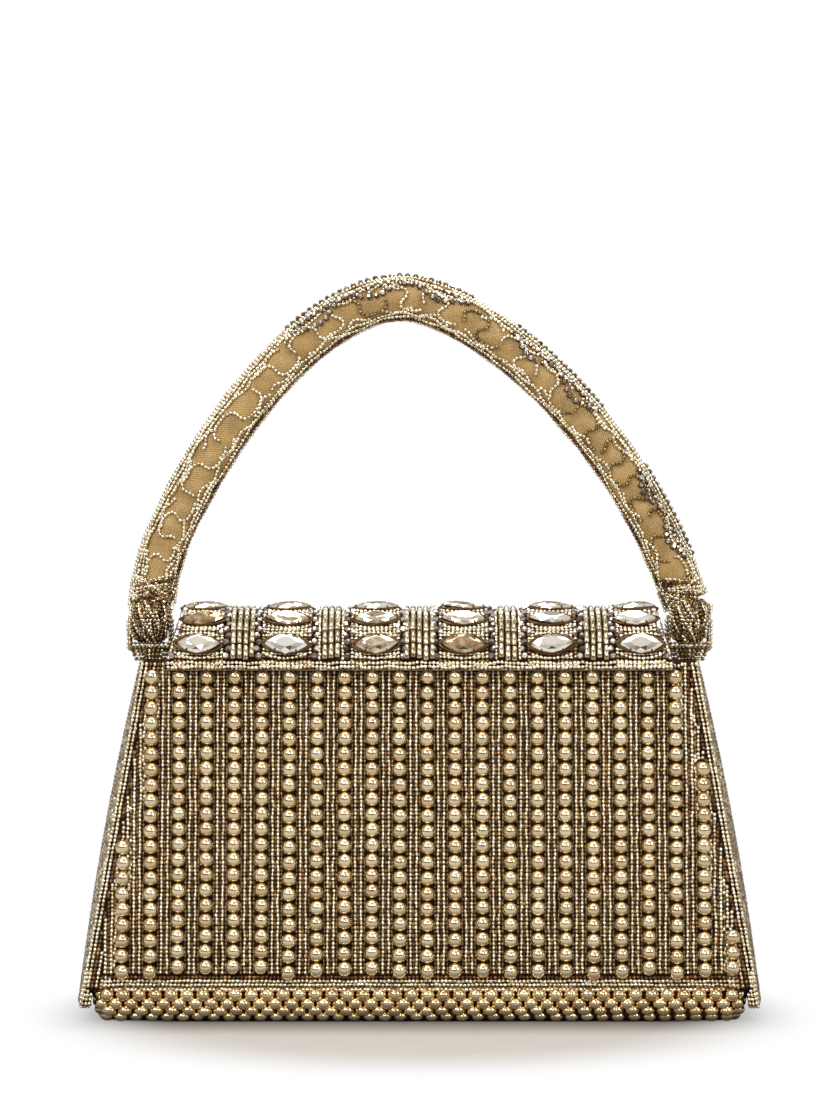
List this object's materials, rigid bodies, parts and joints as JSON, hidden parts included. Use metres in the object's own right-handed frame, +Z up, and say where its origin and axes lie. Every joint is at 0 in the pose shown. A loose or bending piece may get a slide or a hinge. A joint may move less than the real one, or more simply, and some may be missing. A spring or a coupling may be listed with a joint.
{
  "type": "evening bag",
  "caption": "Structured trapezoid evening bag covered in beads, with a rounded crystal flap hinged at the back and a padded top handle.",
  "frame": {"origin": "centre of the flat underside", "axes": "+Z up, front face towards -Y, +X to the right seen from the front"},
  "size_m": [0.2394, 0.0824, 0.2639],
  "materials": {
    "beaded_fabric": "matte",
    "base_fabric": "matte",
    "fibreboard": "matte",
    "gold_beads": "polished",
    "seed_beads": "polished",
    "bugle_glass": "polished",
    "crystal": "polished",
    "rhinestone": "polished",
    "antique_metal": "satin",
    "handle_satin": "satin",
    "lining_satin": "satin",
    "tape": "matte",
    "padding": "matte",
    "magnet_steel": "satin"
  },
  "bodies": {
    "bag": {"base_cover": "base_fabric", "base_board": "fibreboard", "base_bead_band": "gold_beads", "front_cover": "beaded_fabric", "front_board": "fibreboard", "front_bead_strings": "gold_beads", "back_cover": "beaded_fabric", "back_board": "fibreboard", "back_bead_strings": "gold_beads", "left_gusset": "beaded_fabric", "right_gusset": "beaded_fabric", "lining": "lining_satin", "slip_pocket": "lining_satin", "hinge_tape": "tape", "hinge_cord": "tape", "left_handle_tab": "tape", "right_handle_tab": "tape", "body_magnets": "magnet_steel"},
    "flap": {"flap_board": "fibreboard", "flap_cover": "beaded_fabric", "flap_lining": "lining_satin", "flap_edge_rows": "seed_beads", "navette_crystals": "crystal", "crystal_settings": "antique_metal", "rhinestones": "rhinestone", "bugle_beads": "bugle_glass", "flap_magnets": "magnet_steel"},
    "handle": {"handle_core": "padding", "handle_cover": "handle_satin", "left_handle_end": "seed_beads", "right_handle_end": "seed_beads", "handle_edge_beads": "seed_beads", "handle_rhinestones": "rhinestone"}
  },
  "joints": [
    {"name": "flap_hinge", "type": "hinge", "parent": "bag", "child": "flap", "pos_m": [0, 0.0252, 0.126], "axis": [-1, 0, 0], "range_deg": [0, 38]},
    {"name": "handle_swing", "type": "hinge", "parent": "bag", "child": "handle", "pos_m": [0, 0.018, 0.138], "axis": [-1, 0, 0], "range_deg": [-12, 100]}
  ]
}
